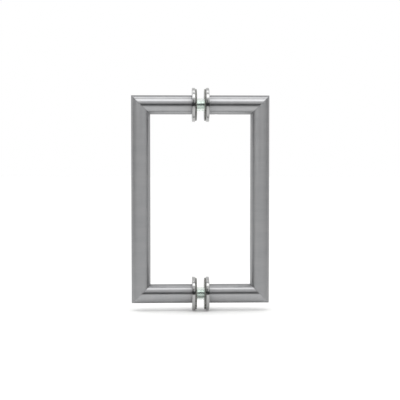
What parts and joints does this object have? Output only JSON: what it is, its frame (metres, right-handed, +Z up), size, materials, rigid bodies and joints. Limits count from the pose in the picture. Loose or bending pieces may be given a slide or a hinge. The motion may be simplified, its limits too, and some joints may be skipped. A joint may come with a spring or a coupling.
{
  "type": "glass door pull handle",
  "caption": "Back to back pair of square-cornered round tube door pulls, joined through a glass door by studs with washers, gaskets and clear sleeves.",
  "frame": {"origin": "middle of the pair: half way between the posts and half way through the glass", "axes": "+X through the thickness of the door from the left handle to the right one, +Y along the face of the door away from the viewer, +Z up along the grips"},
  "size_m": [0.146, 0.036, 0.236],
  "materials": {
    "satin_nickel": "satin, brushed along the tube",
    "polished_nickel": "polished",
    "turned_brass": "turned",
    "bright_steel": "bright zinc plated",
    "black_steel": "black oxide",
    "clear_vinyl": "clear, flexible",
    "clear_nylon": "clear with a faint green tint"
  },
  "bodies": {
    "root": {"left_grip_tube": "satin_nickel", "left_upper_post_tube": "satin_nickel", "left_lower_post_tube": "satin_nickel", "right_grip_tube": "satin_nickel", "right_upper_post_tube": "satin_nickel", "right_lower_post_tube": "satin_nickel", "left_upper_insert": "turned_brass", "left_lower_insert": "turned_brass", "right_upper_insert": "turned_brass", "right_lower_insert": "turned_brass", "left_upper_washer": "polished_nickel", "left_lower_washer": "polished_nickel", "right_upper_washer": "polished_nickel", "right_lower_washer": "polished_nickel", "left_upper_gasket": "clear_vinyl", "left_lower_gasket": "clear_vinyl", "right_upper_gasket": "clear_vinyl", "right_lower_gasket": "clear_vinyl", "upper_sleeve": "clear_nylon", "lower_sleeve": "clear_nylon", "upper_stud": "bright_steel", "lower_stud": "bright_steel", "upper_set_screw": "black_steel", "lower_set_screw": "black_steel"}
  },
  "joints": []
}
